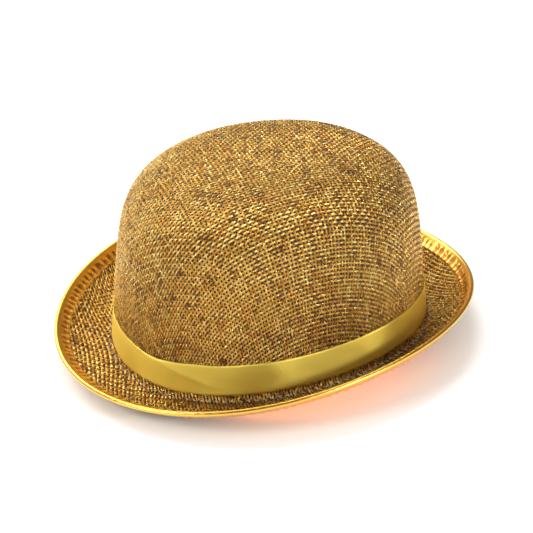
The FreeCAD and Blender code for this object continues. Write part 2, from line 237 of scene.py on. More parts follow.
def tubes_piece(name, lines, radius, materials, sides=8):
    """Round threads: lines has the shape (threads, points, 3), each with rounded-in ends."""
    lines = np.asarray(lines, float)
    count, n = lines.shape[:2]
    run = unit(np.gradient(lines, axis=1))
    ref = np.where(np.abs(run[..., 2:]) < 0.9, [0, 0, 1.0], [1.0, 0, 0])
    a = unit(np.cross(run, ref))
    b = np.cross(run, a)
    taper = np.ones(n)
    taper[[0, -1]] = END_TAPER
    turn = 2 * np.pi * np.arange(sides) / sides
    ring = (a[:, :, None] * np.cos(turn)[:, None] + b[:, :, None] * np.sin(turn)[:, None])
    points = lines[:, :, None] + ring * radius * taper[None, :, None, None]
    one = grid_quads(n, sides, True)
    quads = [one + i * n * sides for i in range(count)]
    for base in np.arange(count) * n * sides:
        for k in range(1, sides // 2):
            cap = np.array([[k - 1, k, sides - 1 - k, sides - k]])
            quads.append(base + cap)
            quads.append(base + (n - 1) * sides + cap[:, ::-1])
    steps = np.linalg.norm(np.diff(lines, axis=1, prepend=lines[:, :1]), axis=-1)
    along = np.cumsum(steps, axis=1)
    marks = {"along": np.repeat(along.ravel(), sides), "around": np.tile(turn, count * n)}
    return make_piece(name, points, np.concatenate(quads), materials, marks)


print("a grid of 3 by 4 points has", len(grid_quads(3, 4, False)), "quads")

# %% [markdown]
# ## Finishes
#
# A finish is a small network of nodes. The plain colour and the metal share sit on the
# shader's own sockets, and the nodes drive what changes over the surface: how rough it is
# and the fine relief that light catches. All patterns are in millimetres, taken from the
# marks on the points or from the piece's own space, so they have their true size.

# %% Helpers for finishes
def new_finish(name, colour, metallic=0.0, roughness=0.5, **sockets):
    """A material with a Principled shader; returns the material, its shader and a node maker."""
    mat = bpy.data.materials.new(name)
    mat.use_nodes = True
    tree = mat.node_tree
    tree.nodes.clear()
    shader = tree.nodes.new("ShaderNodeBsdfPrincipled")
    output = tree.nodes.new("ShaderNodeOutputMaterial")
    tree.links.new(shader.outputs["BSDF"], output.inputs["Surface"])
    shader.inputs["Base Color"].default_value = (*colour, 1)
    shader.inputs["Metallic"].default_value = metallic
    shader.inputs["Roughness"].default_value = roughness
    for key, value in sockets.items():
        shader.inputs[key.replace("_", " ")].default_value = value
    mat.diffuse_color = (*colour, 1)

    def node(kind, inputs=None, **settings):
        made = tree.nodes.new("ShaderNode" + kind)
        for key, value in settings.items():
            setattr(made, key, value)
        for key, value in (inputs or {}).items():
            if hasattr(value, "links"):
                tree.links.new(value, made.inputs[key])
            else:
                made.inputs[key].default_value = value
        return made
    return mat, shader, node


def link(mat, output, socket):
    """Joins a node's output to a socket of the same material."""
    mat.node_tree.links.new(output, socket)


def space_mm(node, scale=(1, 1, 1)):
    """The piece's own space, in millimetres."""
    coords = node("TexCoord").outputs["Object"]
    return node("Mapping", {"Vector": coords, "Scale": [s / MM for s in scale]}).outputs["Vector"]


def mark_space(node, x, y, x_scale, y_scale):
    """A flat space made of two marks that were stored on the points."""
    a = node("Attribute", attribute_name=x).outputs["Fac"]
    b = node("Attribute", attribute_name=y).outputs["Fac"]
    both = node("CombineXYZ", {"X": a, "Y": b}).outputs["Vector"]
    return node("Mapping", {"Vector": both, "Scale": (x_scale, y_scale, 1)}).outputs["Vector"]


def vary(node, factor, low, high):
    """Turns a 0 to 1 pattern into a value between low and high."""
    return node("MapRange", {"Value": factor, "To Min": low, "To Max": high}).outputs["Result"]


def relief(mat, shader, node, height, depth_mm, strength=1.0):
    """Feeds a 0 to 1 height pattern to the shader as relief of a real depth."""
    bump = node("Bump", {"Height": height, "Distance": depth_mm * MM, "Strength": strength})
    link(mat, bump.outputs["Normal"], shader.inputs["Normal"])


print("materials so far:", len(bpy.data.materials))

# %% [markdown]
# ## The mesh cloth
#
# The cloth is a plain weave of flat metallic strips with open holes between the crossings. A
# printed weave, or a bump pattern, would look painted on at the silhouette. Here every
# strip is real: it runs over and under its neighbours, and the brown backing shows through
# the holes. Two cuts of cloth meet behind the ribbon. The crown's is a flat disc pulled over
# the block, so its grain runs straight at four places round the hat and on the slant between
# them. The brim's is a ring with its own grain, stretched outward until its holes lean over.

# %% How flat cloth lies on the block
PULL = 0.0010                    # the crown's extra stretch for each mm from the tip
CROWN_ARC, BRIM_ARC = 173.0, 35.0   # cloth run that counts as 1 in s, mm
SEAM_S = 0.962                   # the crown's cloth ends here, behind the ribbon
CLOTH_END = 1.972                # the brim's cloth stops inside the fold of the binding
MESH_T = 0.8                     # thickness of the woven layer, mm
RING_START, RING_PULL = 100.0, 1.65   # the brim's ring of cloth, and its stretch outward
RING_TUCK = 0.030                # how far the ring runs in behind the ribbon
RING_TURN, RING_SKEW, SKEW_AT = 0.074, 0.135, 1.05   # how far askew the ring is laid on
DENT = 0.20                      # depth of the soft unevenness of hand-pressed cloth, mm
DENT_WAVES = [(1.0, 2.3, 0.4, 1.0), (2.0, 4.1, 1.9, 0.8), (3.0, 6.3, 3.3, 0.6),
              (5.0, 3.2, 5.1, 0.45), (4.0, 8.7, 0.9, 0.4), (7.0, 5.6, 2.2, 0.25)]


def ramp(x):
    """Rises softly from 0 to 1 while x does."""
    x = np.clip(x, 0, 1)
    return x * x * (3 - 2 * x)


def dents(angle, s):
    """Soft unevenness in mm: none at the tip, the ribbon and the brim."""
    wave = sum(a * np.sin(k * angle + ph + 1.7 * np.sin(f * s + ph)) for k, f, ph, a in DENT_WAVES)
    return DENT * wave * ramp(s / 0.25) * ramp((0.86 - s) / 0.12)


def crown_lay(u, v):
    """From the crown's flat disc of cloth, in mm, to the block."""
    rho = np.hypot(u, v)
    return np.arctan2(v, u), rho * (1 + PULL * rho) / CROWN_ARC


def brim_lay(u, v):
    """From the brim's flat ring of cloth, in mm, to the block."""
    rho = np.hypot(u, v)
    angle = np.arctan2(v, u)
    angle = angle + RING_TURN + RING_SKEW * np.cos(angle - SKEW_AT)
    return angle, 1 + (rho - RING_START) * RING_PULL / BRIM_ARC


def lattice(first_deg, second_deg, first_pitch, second_pitch):
    """Matrix from strip numbers to flat cloth: each set's numbers count up along its own line."""
    lines = [(math.cos(math.radians(d)) / p, math.sin(math.radians(d)) / p)
             for d, p in ((first_deg, first_pitch), (second_deg, second_pitch))]
    return np.linalg.inv(np.array(lines))


CROWN_R = (math.sqrt(1 + 4 * PULL * SEAM_S * CROWN_ARC) - 1) / (2 * PULL)
RING_OUT = RING_START + (CLOTH_END - 1) * BRIM_ARC / RING_PULL
RING_IN = RING_START - RING_TUCK * BRIM_ARC / RING_PULL
print("crown cloth radius, mm:", round(CROWN_R, 1))
print("brim cloth radii, mm:", round(RING_IN, 1), round(RING_OUT, 1))

# %% [markdown]
# ## The film of the strips
#
# Each strip is film with a thin coat of metal, and tiny kinks send the light of each float,
# the stretch between two dips, somewhere else. One material could pick a random colour for
# each float, but plain colours are what an exported model keeps best. So five plain shades
# of film, from pale to brown, are dealt out to the floats: painted glints and painted shade,
# float by float, in place of the light its kinks would catch. The strips that run the other
# way get the darker shades, a painted shade for floats that catch less light, so the floats
# make a checkered sparkle.

# %% Finishes of the gold strips
STRIP_SHADES = {
    "gold_strip_pale": (0.97, 0.70, 0.23),
    "gold_strip": (0.84, 0.52, 0.125),
    "gold_strip_deep": (0.64, 0.35, 0.065),
    "gold_strip_amber": (0.62, 0.28, 0.045),
    "gold_strip_brown": (0.29, 0.13, 0.04),
}
# how often each shade, from pale to brown, turns up in the two sets of strips: mostly
# painted glints in the first set, mostly painted shade in the second
WARP_PAINTED_GLINT_ODDS = (0.30, 0.48, 0.14, 0.06, 0.02)
WEFT_PAINTED_SHADE_ODDS = (0.03, 0.14, 0.46, 0.20, 0.17)


def strip_finish(name, colour):
    """Metallised film: fine filaments along the strip, uneven gloss, small kinks."""
    mat, shader, node = new_finish(name, colour, metallic=1.0, roughness=0.3)
    filaments = node("TexWave", {"Vector": mark_space(node, "across", "along", 1.0, 0.12),
                                 "Scale": 2.2, "Distortion": 0.8}, bands_direction="X")
    gloss = node("TexNoise", {"Vector": space_mm(node), "Scale": 0.45, "Detail": 3.0})
    link(mat, vary(node, gloss.outputs["Fac"], 0.16, 0.42), shader.inputs["Roughness"])
    relief(mat, shader, node, filaments.outputs["Fac"], 0.05)
    return mat


strip_finishes = [strip_finish(*item) for item in STRIP_SHADES.items()]
print("strip finishes:", len(strip_finishes))

# %% One strip of the weave
WAVE = 0.33                      # how far a strip rises and dips at the crossings, mm
STRIP_T = 0.17                   # half thickness of a strip, mm
PER_PITCH = 3                    # stations between crossings
TWIST = math.radians(7.0)        # how far a float may tilt
WANDER = 0.025                   # how far a strip strays sideways, against the pitch
UNEVEN = 0.05                    # how much a strip's width changes along it
RAISED = 0.05                    # how far the strips stand over the middle of their layer, mm
NUDGE = 0.02                     # a small step, in pitches, for measuring a direction
SECTION = np.array([(-1.0, -0.1), (-0.6, 0.7), (0.0, 1.0), (0.6, 0.7), (1.0, -0.1), (0.0, -0.9)])


def soft_noise(x, waves, size):
    """A smooth random line: a few sine waves with random phases."""
    out = np.zeros(np.shape(x))
    for k in range(waves):
        out += np.sin(x * rng.uniform(0.06, 0.5) + rng.uniform(0, 2 * math.pi))
    return out * size / math.sqrt(waves)


def weave_strip(number, family, matrix, lay, low, high, fill):
    """Sections of one strip: a list of (points, marks, shades), one for each stretch of it."""
    reach = int(high * np.linalg.norm(np.linalg.inv(matrix), 2)) + 1
    k = np.arange(-reach * PER_PITCH, reach * PER_PITCH + 1)
    run = k / PER_PITCH
    line = number + 0.5 + soft_noise(run, 4, WANDER)

    def at(across=0.0, along=0.0):
        pair = line + across, run + along
        return matrix @ np.stack(pair if family == 0 else pair[::-1])

    def on_block(part, **step):
        return face(*lay(*at(**step)[:, part]))

    rho = np.hypot(*at())
    floats = np.floor((run + 0.5 + (number + family) % 2) / 2).astype(int)
    floats -= floats.min()
    tilt = rng.normal(0, TWIST, floats.max() + 1)[floats]
    tilt = np.convolve(np.pad(tilt, 1, "edge"), [0.25, 0.5, 0.25], "valid")
    # the second set's odds deal out the darker shades: painted shade on its floats
    odds = WARP_PAINTED_GLINT_ODDS if family == 0 else WEFT_PAINTED_SHADE_ODDS
    shades = rng.choice(len(odds), floats.max() + 1, p=odds)[floats]
    spread = 1 + soft_noise(run * 2, 3, UNEVEN)
    out = []
    inside = np.flatnonzero((rho >= low) & (rho <= high))
    for part in np.split(inside, np.flatnonzero(np.diff(inside) > 1) + 1):
        if len(part) < 2 * PER_PITCH:
            continue
        angle, s = lay(*at()[:, part])
        across = (on_block(part, across=NUDGE) - on_block(part, across=-NUDGE)) / (2 * NUDGE)
        along = unit(on_block(part, along=NUDGE) - on_block(part, along=-NUDGE))
        across = across - along * np.sum(across * along, -1, keepdims=True)
        up = normal(angle, s)
        side = unit(across - up * np.sum(across * up, -1, keepdims=True))
        width = np.linalg.norm(across, axis=-1) * fill / 2 * spread[part]
        c, n = np.cos(tilt[part])[:, None], np.sin(tilt[part])[:, None]
        turned, lifted = side * c + up * n, up * c - side * n
        # strips of one set pass over where those of the other pass under
        wave = np.cos(math.pi * (run[part] + 0.5 + number + family))
        depth = MESH_T / 2 - RAISED - dents(angle, s)
        centre = place(angle, s, depth) + up * (WAVE * wave)[:, None]
        points = (centre[:, None] + turned[:, None] * (width[:, None] * SECTION[:, 0])[..., None]
                  + lifted[:, None] * (STRIP_T * SECTION[:, 1])[None, :, None])
        marks = np.stack(np.broadcast_arrays(
            SECTION[:, 0], (run[part] * 3 + 0.37 * number)[:, None]), -1)
        out.append((points, marks, shades[part]))
    return out


print("a strip is", 2 * STRIP_T, "mm thick and waves", 2 * WAVE, "mm up and down")

# %% Weave a cut of cloth
STRIP_END = np.array([(0, 1, 4, 5), (1, 2, 3, 4)])   # two faces close the end of a strip


def weave(name, family, matrix, lay, low, high, fill, parts=1):
    """All the strips that run one way in a cut of cloth, shared between a few light objects."""
    sides = len(SECTION)
    most = int(high * np.linalg.norm(np.linalg.inv(matrix)[family])) + 1
    strips = [x for n in range(-most - 1, most + 1)
              for x in weave_strip(n, family, matrix, lay, low, high, fill)]
    pieces = []
    for part in range(parts):
        points, quads, marks, slots, first = [], [], [], [], 0
        for p, m, shade in strips[part::parts]:
            end = first + (len(p) - 1) * sides
            caps = np.concatenate([first + STRIP_END, end + STRIP_END[:, ::-1]])
            quads += [grid_quads(len(p), sides, True, first, True), caps]
            slots += [np.repeat(shade[:-1], sides), np.full(len(caps), shade[0])]
            points.append(p.reshape(-1, 3))
            marks.append(m.reshape(-1, 2))
            first += len(p) * sides
        marks = np.concatenate(marks)
        label = f"{name}_{part + 1}" if parts > 1 else name
        piece = make_piece(label, np.concatenate(points), np.concatenate(quads), strip_finishes,
                           {"across": marks[:, 0], "along": marks[:, 1]}, np.concatenate(slots))
        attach(piece, HAT)
        pieces.append(piece)
        print(piece.name, len(piece.data.polygons), "faces")
    return pieces


# each cut: the directions of its two sets of strips in degrees, then their pitches in mm
CROWN_CUT = -22.0, 68.0, 2.12, 2.12
BRIM_CUT = -114.0, 15.0, 1.53, 2.0
WARP_FILL, CROWN_WEFT_FILL, BRIM_WEFT_FILL = 0.52, 0.55, 0.50   # strip width against pitch
TIP_GAP = 1.0                    # the crown's strips stop this near the middle of the disc, mm
crown_cut = lattice(*CROWN_CUT), crown_lay, TIP_GAP, CROWN_R
brim_cut = lattice(*BRIM_CUT), brim_lay, RING_IN, RING_OUT
crown_strips = (weave("crown_mesh_warp", 0, *crown_cut, WARP_FILL, parts=3)
                + weave("crown_mesh_weft", 1, *crown_cut, CROWN_WEFT_FILL, parts=3))
brim_strips = (weave("brim_mesh_warp", 0, *brim_cut, WARP_FILL)
               + weave("brim_mesh_weft", 1, *brim_cut, BRIM_WEFT_FILL))
for piece in crown_strips:
    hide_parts("crown_mesh")
for piece in brim_strips:
    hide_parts("brim_mesh")

# %% [markdown]
# ## The backing
#
# Behind the open mesh lies a stiff brown non-woven, which gives the hat its body and shows as
# the dark of every hole. It could stay as the CAD's plain solid, but a cloth never lies so
# true: this one is rebuilt with the same soft dents as the mesh above it, and its felted
# fibres are a finish of stretched noise.

# %% Build the backing
BACK_TOP, BACK_T = 0.85, 0.6     # depth of its outer face, and its thickness, mm
AROUND = 288                     # points round the hat in a plain layer
angles = np.linspace(0, 2 * math.pi, AROUND, endpoint=False)


def layer_grid(runs, depth, dented=True):
    """A grid of places for one layer, a row for each of the runs."""
    a, s = np.meshgrid(angles, runs)
    return place(a, s, depth - (dents(a, s) if dented else 0))


def fibre_finish(name, colour, roughness, depth_mm, scale):
    """Felted fibres: two layers of noise, one stretched, over a matt colour."""
    mat, shader, node = new_finish(name, colour, roughness=roughness, Sheen_Weight=0.25)
    hairs = node("TexNoise", {"Vector": space_mm(node, (1, 1, 0.35)), "Scale": scale,
                              "Detail": 6.0, "Roughness": 0.7})
    blotch = node("TexNoise", {"Vector": space_mm(node), "Scale": 0.08, "Detail": 2.0})
    link(mat, vary(node, blotch.outputs["Fac"], roughness - 0.1, roughness + 0.1),
         shader.inputs["Roughness"])
    relief(mat, shader, node, hairs.outputs["Fac"], depth_mm)
    return mat


backing_finish = fibre_finish("brown_nonwoven", (0.07, 0.034, 0.019), 0.85, 0.25, 1.6)
runs = np.concatenate([np.linspace(0.002, 1, 90), np.linspace(1, CLOTH_END, 30)[1:]])
backing = sheet_piece("stiff_backing", layer_grid(runs, BACK_TOP),
                      layer_grid(runs, BACK_TOP + BACK_T), True, [backing_finish])
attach(backing, HAT)
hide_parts("stiffener_shell")
print("backing", len(backing.data.polygons), "faces")

# %% [markdown]
# ## The ribbon
#
# A satin ribbon is wound once round the foot of the crown, and its end laps over its start at
# the back. Ribbon is woven straight, so on a curved wall its edges pull in a little and one
# soft buckle forms where the crown turns most sharply. Cloth simulation could find such a
# buckle, but not in a chosen place, so the ribbon is a fine grid of points with the buckle
# and some slack waves added by formula.

# %% Ribbon shape
RIBBON_W, RIBBON_T = 18.7, 0.35
RIBBON_GAP, RIBBON_LIFT = 0.3, 0.3   # clear of the cloth, and of the crown's foot, mm
RIBBON_START, RIBBON_LAP, LAP_CLEAR = math.radians(100), math.radians(10), 0.15
BUCKLE_AT, BUCKLE_RUN, BUCKLE_H = math.radians(-86), math.radians(17), 0.65
BUCKLE_LEAN, BUCKLE_W = 0.45, 0.10   # how fast it runs down, and how narrow it is
DIP, DIP_RUN = 2.0, 1.1          # the top edge dips where the ribbon buckles, mm and runs
SLACK, EDGE_RIPPLE = 0.12, 0.08  # soft waves in the middle and along the edges, mm


def ribbon_face(extra, n=900, rows=15):
    """One face of the ribbon, and the angle and height share of each of its points."""
    turn = 2 * math.pi + RIBBON_LAP
    angles = RIBBON_START + np.linspace(0, turn, n)
    share = np.linspace(0, 1, rows)
    a, h = np.meshgrid(angles, share)
    over = ramp((a - RIBBON_START - 2 * math.pi + 2 * RIBBON_LAP) / (2 * RIBBON_LAP))
    lift = (RIBBON_T + LAP_CLEAR) * over
    # the soft buckle runs down and to the wearer's left from the top edge
    away = np.angle(np.exp(1j * (a - BUCKLE_AT))) / BUCKLE_RUN
    line = 1.0 - BUCKLE_LEAN * np.clip(away, 0, 1.6)
    ridge = np.exp(-((h - line) / BUCKLE_W) ** 2) * ramp(away / 0.2) * ramp((1.9 - away) / 0.9)
    slack = SLACK * np.sin(9 * a + 1.0) * np.sin(math.pi * h) + EDGE_RIPPLE * np.sin(23 * a + 6 * h)
    lift = lift + BUCKLE_H * ridge + np.maximum(slack, -0.2)
    dip = DIP * np.clip(1 - np.abs(away) / DIP_RUN, 0, 1)
    width = RIBBON_LIFT + (RIBBON_W - dip) * h
    return place(a, at_height(a, width), -(RIBBON_GAP + extra + lift)), a, h


outer, a, h = ribbon_face(RIBBON_T)
inner, a, h = ribbon_face(0.0)
print("ribbon grid, rows and columns:", outer.shape[:2])

# %% [markdown]
# ## Satin
#
# Satin's threads float side by side over a long stretch, so light spreads out sideways and
# makes one soft streak. A plain gloss would give a round highlight, as on plastic. The
# shader's anisotropic sockets turn it into a streak, and a fine wave along the ribbon adds
# the ribs. The stored marks "along" and "across" keep both true on the curve.

# %% Satin finish
def satin_finish():
    """Satin: one soft bright streak, with faint ribs across the ribbon."""
    mat, shader, node = new_finish("olive_gold_satin", (0.86, 0.67, 0.115), metallic=0.85,
                                   roughness=0.42, Anisotropic=0.9, Anisotropic_Rotation=0.25)
    floats = node("TexWave", {"Vector": mark_space(node, "along", "across", 1.0, 0.02),
                              "Scale": 1.4, "Distortion": 1.2, "Detail": 2.0},
                  bands_direction="X")
    cloud = node("TexNoise", {"Vector": mark_space(node, "along", "across", 0.05, 0.25),
                              "Scale": 1.0, "Detail": 2.0})
    link(mat, vary(node, cloud.outputs["Fac"], 0.34, 0.48), shader.inputs["Roughness"])
    relief(mat, shader, node, floats.outputs["Fac"], 0.025)
    return mat


ribbon_finish = satin_finish()
mean_r = (HALF_W + HALF_L) / 2   # turns an angle into a rough length along a band, mm
ribbon = sheet_piece("satin_ribbon", outer, inner, False, [ribbon_finish],
                     {"along": a * mean_r, "across": h * RIBBON_W})
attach(ribbon, HAT)
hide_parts("hat_band")
print("ribbon", len(ribbon.data.polygons), "faces")

# %% [markdown]
# ## The brim's binding
#
# A strip of gold foil cloth is folded over the wired edge and sewn through. Foil cloth can't
# stretch, so its inner hem gathers into small even puckers between the stitches, while the
# fold round the wire stays smooth and tight. A displacement map would blur such small folds,
# so they are points of the mesh: a roll round the wire, a shallow valley, then the gathers.

# %% Binding shape
STACK = 1.95                     # thickness of the brim's layers together, mm
FOLD_R, BINDING_T, BINDING_W = 1.075, 0.35, 8.5
EDGE_ROUND, PUCKER = 790, 5.2    # mm round the edge, and between gathers
PUCKERS = int(round(EDGE_ROUND / PUCKER))
BINDING_COLS = PUCKERS * 8       # points round the edge: eight for each gather
HUMP_H, HUMP_AT, HUMP_W = 0.40, 7.3, 0.9   # the hem's soft roll: height, place, width, mm
GATHER_H, VALLEY = 0.62, 0.30    # how high the gathers stand, and the valley between, mm
HEM_SWAY, BELOW = 0.45, 0.7      # the hem's sway in mm; gathers are flatter under the brim
FOLD_SLANT = 0.55                # how far a gather leans over from hem to edge
HEM_KEEP, HEM_SINK = 0.4, 0.25   # the hem keeps this share of its relief and sinks this far, mm
POCKET_FROM, POCKET_TO = 0.34, 0.92   # where a pocket starts and ends across the strip
FOLD_WOBBLE = 0.035              # how uneven the fold round the wire is, against its radius


def edge_frame(angle):
    """Centre of the wire, and the cloth's own run and normal at the edge."""
    run = unit(face(angle, 2.0) - face(angle, 1.99))
    return place(angle, 2.0, STACK / 2), run, normal(angle, 2.0)


def pucker_field(angle):
    """Height of the gathers round the hat, -1 to 1, uneven in spacing and size."""
    phase = PUCKERS * angle + 1.9 * np.sin(3 * angle + 0.6) + 1.3 * np.sin(11 * angle + 2) \
        + 0.9 * np.sin(29 * angle + 1) + 0.5 * np.sin(61 * angle)
    size = 0.72 + 0.2 * np.sin(7 * angle + 1) + 0.18 * np.sin(19 * angle + 2.5) \
        + 0.12 * np.sin(47 * angle)
    return phase, np.clip(size, 0.2, 1.2)


def binding_face(radius, columns=BINDING_COLS):
    """One face of the folded strip, from upper hem round the edge to lower hem, and its pockets."""
    angles = np.linspace(0, 2 * math.pi, columns, endpoint=False)
    phase, size = pucker_field(angles)
    reach = np.linalg.norm(face(angles, 2.0) - face(angles, 1.7), axis=-1) / 0.3
    shares = np.linspace(1, 0, 15)[:-1]
    rows, band_ridge = [], []
    for side in (1, -1):
        band = []
        for x in shares:
            inward = x * BINDING_W
            slant = phase + FOLD_SLANT * (x - 0.5) * side
            # a fold is a narrow ridge between wide pockets, strongest in the valley
            ridge = (0.5 + 0.5 * np.cos(slant)) ** 2
            hump = HUMP_H * np.exp(-((inward - HUMP_AT) / HUMP_W) ** 2)
            gather = ramp((x - 0.16) / 0.2) * size
            lift = hump + gather * (GATHER_H * ridge - VALLEY)
            lift = lift * (1 if side > 0 else BELOW)
            if x == 1:           # the hem itself is pressed down
                lift = lift * HEM_KEEP - HEM_SINK
            band_ridge.append(ridge if side > 0 else np.ones(columns))
            hem = HEM_SWAY * size * np.cos(slant) * ramp((x - 0.6) / 0.4)
            s = 2.0 - (inward + hem) / reach
            depth = STACK / 2 - side * (radius + np.maximum(lift, -0.5))
            band.append(place(angles, s, depth))
        rows.append(band)
    centre, run, up = edge_frame(angles)
    fold_rows = []
    for turn in np.linspace(0, math.pi, 11):
        wobble = 1 + FOLD_WOBBLE * np.sin(phase) * np.sin(turn)
        fold_rows.append(centre + (up * math.cos(turn) + run * math.sin(turn))
                         * (radius * wobble)[:, None])
    # a spot must lie this low to count as a pocket, and lower where the gathers are unusual
    deep = 0.50 - 0.20 * np.abs(size - 0.8) / 0.3
    pockets = np.array(band_ridge[:len(shares)]) < deep
    starts = POCKET_FROM + 0.10 * np.sin(phase * 0.37)
    pockets &= (shares[:, None] > starts) & (shares[:, None] < POCKET_TO)
    return np.array(rows[0] + fold_rows + rows[1][::-1]), pockets


outer, pockets = binding_face(FOLD_R + BINDING_T)
inner = binding_face(FOLD_R)[0]
print("binding grid, rows and columns:", outer.shape[:2])

# %% [markdown]
# ## Foil
#
# Foil cloth is a bright metal skin with fine creases, and deep in its gathers it only sees
# more foil, so it looks brown there. Light alone gives some of that. As the folds here are
# shallower than real ones, the pockets between them get a second foil with painted shade,
# darker and rougher. Both are the same network of creases and grain with other numbers.

# %% Foil finish
def foil_finish(name, colour, low, high):
    """Foil on cloth: bright, with fine creases and a little wear in its gloss."""
    mat, shader, node = new_finish(name, colour, metallic=1.0, roughness=0.25)
    crease = node("TexNoise", {"Vector": space_mm(node), "Scale": 0.9, "Detail": 5.0,
                               "Distortion": 0.7})
    grain = node("TexVoronoi", {"Vector": space_mm(node), "Scale": 2.6})
    link(mat, vary(node, crease.outputs["Fac"], low, high), shader.inputs["Roughness"])
    both = node("Math", {0: crease.outputs["Fac"], 1: grain.outputs["Distance"]}, operation="ADD")
    relief(mat, shader, node, both.outputs["Value"], 0.035)
    return mat


foil = foil_finish("gold_foil_cloth", (0.93, 0.53, 0.10), 0.22, 0.40)
# a second foil, darker brown, is painted shade for the pockets between the gathers
painted_shade_foil = foil_finish("gold_foil_painted_fold_shade", (0.40, 0.165, 0.03), 0.38, 0.55)
binding = sheet_piece("foil_binding", outer, inner, True, [foil, painted_shade_foil])
slots = np.zeros(len(binding.data.polygons), np.int32)
# the pockets take the second foil, with its painted shade
slots[:(len(pockets) - 1) * BINDING_COLS] = (pockets[:-1] & pockets[1:]).ravel()
binding.data.polygons.foreach_set("material_index", slots)
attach(binding, HAT)
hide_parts("brim_binding")
print("binding", len(binding.data.polygons), "faces,", PUCKERS, "puckers")

# %% [markdown]
# ## Stitches
#
# Four runs of sewing hold the hat together, and each shows as short bright dashes. Every
# stitch is a little bent tube that dips into the cloth at both ends, so it looks pulled
# tight. A twisted-ply pattern in the finish gives the thread its two strands.

# %% Thread finish and stitch builder
def thread_finish(name, colour, metallic, roughness):
    """Twisted thread: slanting ply, and a little fuzz in its gloss."""
    mat, shader, node = new_finish(name, colour, metallic=metallic, roughness=roughness,
                                   Sheen_Weight=0.2)
    ply = node("TexWave", {"Vector": mark_space(node, "along", "around", 1.0, 0.32), "Scale": 1.6},
               bands_direction="DIAGONAL")
    fuzz = node("TexNoise", {"Vector": space_mm(node), "Scale": 6.0})
    link(mat, vary(node, fuzz.outputs["Fac"], roughness - 0.1, roughness + 0.12),
         shader.inputs["Roughness"])
    relief(mat, shader, node, ply.outputs["Fac"], 0.12)
    return mat


gold_thread = thread_finish("gold_thread", (0.86, 0.58, 0.17), 0.8, 0.35)
pale_thread = thread_finish("pale_thread", (0.74, 0.66, 0.50), 0.0, 0.6)
STITCH_L, STITCH_R = 2.3, 0.17
# places along a stitch, from end to end, and how far each has sunk into the cloth
STITCH_X = (-1.0, -0.8, -0.4, 0.0, 0.4, 0.8, 1.0)
STITCH_DROP = (1.0, 0.45, 0.1, 0.0, 0.1, 0.45, 1.0)


def even_angles(s, pitch):
    """Angles that space a row of stitches evenly by length."""
    angles = np.linspace(0, 2 * math.pi, 2161)
    steps = np.linalg.norm(np.diff(face(angles, s), axis=0), axis=-1)
    run = np.concatenate([[0], np.cumsum(steps)])
    number = int(round(run[-1] / pitch))
    return np.interp(run[-1] * (np.arange(number) + 0.5) / number, run, angles)


def stitch_lines(angles, s, depth, slant=0.06, sink=0.35):
    """Centre lines of stitches that lie along a row and dip at both ends."""
    lines = []
    here = face(angles, s)
    per = np.linalg.norm(face(angles + 1e-3, s) - here, axis=-1) / 1e-3
    for x, drop in zip(STITCH_X, STITCH_DROP):
        off = x * STITCH_L / 2 / per
        lines.append(place(angles + off, s + slant * x * 0.3, depth + sink * drop))
    return np.stack(lines, 1)


print("gold and pale thread ready")

# %% [markdown]
# ## Rows of stitches
#
# A machine sews at an even pitch measured along the cloth, and equal steps of angle would
# crowd the stitches on an oval. So each row is measured first and then cut into equal
# lengths. One mesh holds a whole row, as hundreds of small objects would be slow to handle.

# %% Sew the rows
BINDING_ROW = 2.0 - 0.85 * BINDING_W / 30.0   # s of the row through the binding's hem
SWEAT_ROW = 1.0 + FILLET_SHARE * 0.75    # s of the row beside the ribbon
BINDING_PITCH, SWEAT_PITCH = 4.8, 4.6    # mm
OVER_HEM = 0.62                  # the hem lies this far over the strip's flat face, mm
TACK_HEIGHTS = np.array([4.0, 9.5, 15.0])


def add_stitches(name, node_name, angles, s, depth, finish):
    """A row of stitches in place of the frame's plain ones."""
    piece = tubes_piece(name, stitch_lines(angles, s, depth), STITCH_R, [finish])
    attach(piece, HAT)
    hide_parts(node_name)
    print(name, len(angles), "stitches")


add_stitches("binding_stitches", "binding_stitching", even_angles(BINDING_ROW, BINDING_PITCH),
             BINDING_ROW, STACK / 2 - FOLD_R - BINDING_T - OVER_HEM, gold_thread)
add_stitches("sweatband_stitches", "sweatband_stitching", even_angles(SWEAT_ROW, SWEAT_PITCH),
             SWEAT_ROW, -(STITCH_R + 0.10), pale_thread)
tack_angle = RIBBON_START + RIBBON_LAP * 0.7
add_stitches("ribbon_tacks", "hat_band_tacks", np.full(len(TACK_HEIGHTS), tack_angle),
             at_height(tack_angle, TACK_HEIGHTS),
             -(RIBBON_GAP + 2 * RIBBON_T + LAP_CLEAR + STITCH_R + 0.08), gold_thread)

# %% [markdown]
# ## Facing under the brim
#
# Turn the hat over and it is dressed there too. A ring of thin gold cloth hides the raw
# backing under the brim. It could be woven from strips like the mesh, but its threads are too
# fine to show one by one, so it is a plain sheet, with relief from two crossed waves.

# %% Build the facing
INNER_TOP, FACING_T = 1.5, 0.4   # depth of the layers inside the backing, mm
FACING_FROM, FACING_TO = 1.34, 1.965   # from under the sweatband to inside the binding, in s


def weave_finish(name, colour, metallic, roughness, pitch_mm, depth_mm):
    """A fine plain weave from two crossed waves in the piece's own space."""
    mat, shader, node = new_finish(name, colour, metallic=metallic, roughness=roughness,
                                   Sheen_Weight=0.2)
    space = space_mm(node)
    bands = [node("TexWave", {"Vector": space, "Scale": 0.157 / pitch_mm * 2, "Distortion": 0.3},
                  bands_direction=d).outputs["Fac"] for d in ("X", "Y")]
    both = node("Math", {0: bands[0], 1: bands[1]}, operation="MULTIPLY")
    uneven = node("TexNoise", {"Vector": space, "Scale": 0.3, "Detail": 3.0})
    link(mat, vary(node, uneven.outputs["Fac"], roughness - 0.12, roughness + 0.12),
         shader.inputs["Roughness"])
    relief(mat, shader, node, both.outputs["Value"], depth_mm)
    return mat


